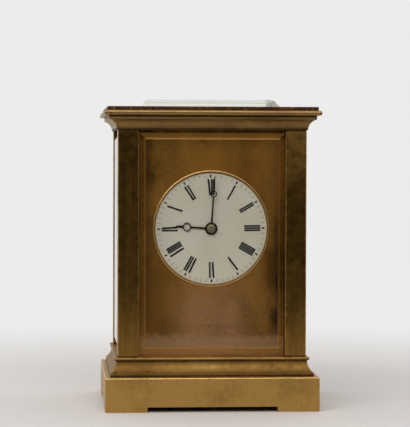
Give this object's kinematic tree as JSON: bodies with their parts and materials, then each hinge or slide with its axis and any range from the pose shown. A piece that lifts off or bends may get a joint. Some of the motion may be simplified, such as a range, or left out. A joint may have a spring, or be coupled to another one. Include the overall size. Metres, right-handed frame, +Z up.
{
  "type": "table clock",
  "caption": "Glazed brass carriage clock: moulded base and cornice, bevelled panes, enamel dial with ring-ended hands, hinged rear door and a geared spring movement.",
  "frame": {"origin": "middle of the base's outline, on the plane the feet stand on", "axes": "+Z up, the dial faces -Y, +X to the right seen from the front"},
  "size_m": [0.0992, 0.0872, 0.1428],
  "materials": {
    "case_brass": "polished",
    "top_bronze": "dark polished",
    "pane_glass": "bevelled clear",
    "mask_brass": "satin",
    "gilt_bezel": "polished gilt",
    "dial_enamel": "vitreous enamel",
    "hand_steel": "blued",
    "collet_brass": "dulled",
    "movement_brass": "satin",
    "movement_steel": "polished"
  },
  "bodies": {
    "case": {"base_plinth": "case_brass", "pillar_front_left": "case_brass", "pillar_front_right": "case_brass", "pillar_rear_left": "case_brass", "pillar_rear_right": "case_brass", "cornice_frame": "case_brass", "top_plate": "top_bronze", "top_glass": "pane_glass", "front_glass": "pane_glass", "left_glass": "pane_glass", "right_glass": "pane_glass", "pillar_screws_below": "movement_steel", "pillar_screws_above": "movement_steel", "dial_mask": "mask_brass", "dial_bezel": "gilt_bezel", "dial_plate": "dial_enamel", "dial_feet": "movement_steel", "front_plate": "movement_brass", "back_plate": "movement_brass", "movement_posts": "movement_brass", "movement_post_screws": "movement_steel", "movement_seat_screws": "movement_steel", "minute_wheel_stud": "movement_steel", "click_spring": "movement_steel", "click_screws": "movement_steel", "platform_plate": "movement_brass", "platform_screws": "movement_steel", "escape_bridge": "movement_brass", "balance_cock": "movement_brass", "hairspring": "movement_steel"},
    "minute_work": {"centre_arbor": "movement_steel", "centre_wheel": "movement_brass", "cannon_pinion": "movement_steel", "minute_hand": "hand_steel", "hand_collet": "collet_brass"},
    "hour_work": {"hour_wheel": "movement_brass", "hour_hand": "hand_steel"},
    "motion_wheel": {"minute_wheel": "movement_brass"},
    "intermediate_work": {"intermediate_wheel": "movement_brass", "intermediate_arbor": "movement_steel"},
    "going_barrel": {"barrel_drum": "movement_brass", "barrel_cover": "movement_brass", "mainspring": "movement_steel"},
    "third_work": {"third_wheel": "movement_brass", "third_arbor": "movement_steel"},
    "contrate_work": {"contrate_wheel": "movement_brass", "contrate_arbor": "movement_steel"},
    "escape_work": {"escape_wheel": "movement_brass", "escape_arbor": "movement_steel"},
    "rear_door": {"door_frame": "case_brass", "door_glass": "pane_glass", "door_hinge_pins": "movement_steel", "door_knob": "case_brass"},
    "winding_work": {"barrel_arbor": "movement_steel", "ratchet_wheel": "movement_steel"},
    "click_pawl": {"click": "movement_steel"},
    "lever": {"pallet_lever": "movement_steel"},
    "balance": {"balance_wheel": "movement_brass", "balance_staff": "movement_steel"},
    "regulator": {"regulator_index": "movement_steel"}
  },
  "joints": [
    {"name": "minute_hand_turn", "type": "hinge", "parent": "case", "child": "minute_work", "pos_m": [0, 0, 0.0833], "axis": [0, 1, 0], "continuous": true},
    {"name": "hour_hand_turn", "type": "hinge", "parent": "case", "child": "hour_work", "pos_m": [0, 0, 0.0833], "axis": [0, 1, 0], "continuous": true},
    {"name": "minute_wheel_turn", "type": "hinge", "parent": "case", "child": "motion_wheel", "pos_m": [-0.00786, 0, 0.07779], "axis": [0, 1, 0], "continuous": true},
    {"name": "intermediate_turn", "type": "hinge", "parent": "case", "child": "intermediate_work", "pos_m": [-0.00487, 0, 0.06943], "axis": [0, 1, 0], "continuous": true},
    {"name": "barrel_turn", "type": "hinge", "parent": "case", "child": "going_barrel", "pos_m": [0, 0, 0.049], "axis": [0, 1, 0], "continuous": true},
    {"name": "third_turn", "type": "hinge", "parent": "case", "child": "third_work", "pos_m": [0.00678, 0, 0.09349], "axis": [0, 1, 0], "continuous": true},
    {"name": "contrate_turn", "type": "hinge", "parent": "case", "child": "contrate_work", "pos_m": [0, 0, 0.102], "axis": [0, 1, 0], "continuous": true},
    {"name": "escape_turn", "type": "hinge", "parent": "case", "child": "escape_work", "pos_m": [0, -0.0016, 0], "axis": [0, 0, 1], "continuous": true},
    {"name": "rear_door_hinge", "type": "hinge", "parent": "case", "child": "rear_door", "pos_m": [-0.0312, 0.0343, 0], "axis": [0, 0, 1], "range_deg": [0, 90]},
    {"name": "winding_turn", "type": "hinge", "parent": "case", "child": "winding_work", "pos_m": [0, 0, 0.049], "axis": [0, 1, 0], "range_deg": [0, 1900]},
    {"name": "click_lift", "type": "hinge", "parent": "case", "child": "click_pawl", "pos_m": [-0.01128, 0, 0.0531], "axis": [0, -1, 0], "range_deg": [0, 8], "stiffness_Nm_per_rad": 0.002, "springref_deg": -5.73},
    {"name": "lever_rock", "type": "hinge", "parent": "case", "child": "lever", "pos_m": [0, -0.0068, 0], "axis": [0, 0, 1], "range_deg": [-5, 5]},
    {"name": "balance_swing", "type": "hinge", "parent": "case", "child": "balance", "pos_m": [0, -0.0128, 0], "axis": [0, 0, 1], "range_deg": [-220, 220], "stiffness_Nm_per_rad": 0.000012},
    {"name": "regulator_turn", "type": "hinge", "parent": "case", "child": "regulator", "pos_m": [0, -0.0128, 0], "axis": [0, 0, 1], "range_deg": [-25, 25]}
  ],
  "couplings": [
    {"joint": "hour_hand_turn", "follows": "minute_hand_turn", "ratio": 0.083333},
    {"joint": "minute_wheel_turn", "follows": "minute_hand_turn", "ratio": -0.33333},
    {"joint": "intermediate_turn", "follows": "minute_hand_turn", "ratio": -0.16667},
    {"joint": "barrel_turn", "follows": "minute_hand_turn", "ratio": 0.027778},
    {"joint": "third_turn", "follows": "minute_hand_turn", "ratio": -8},
    {"joint": "contrate_turn", "follows": "minute_hand_turn", "ratio": 60},
    {"joint": "escape_turn", "follows": "minute_hand_turn", "ratio": 600}
  ]
}
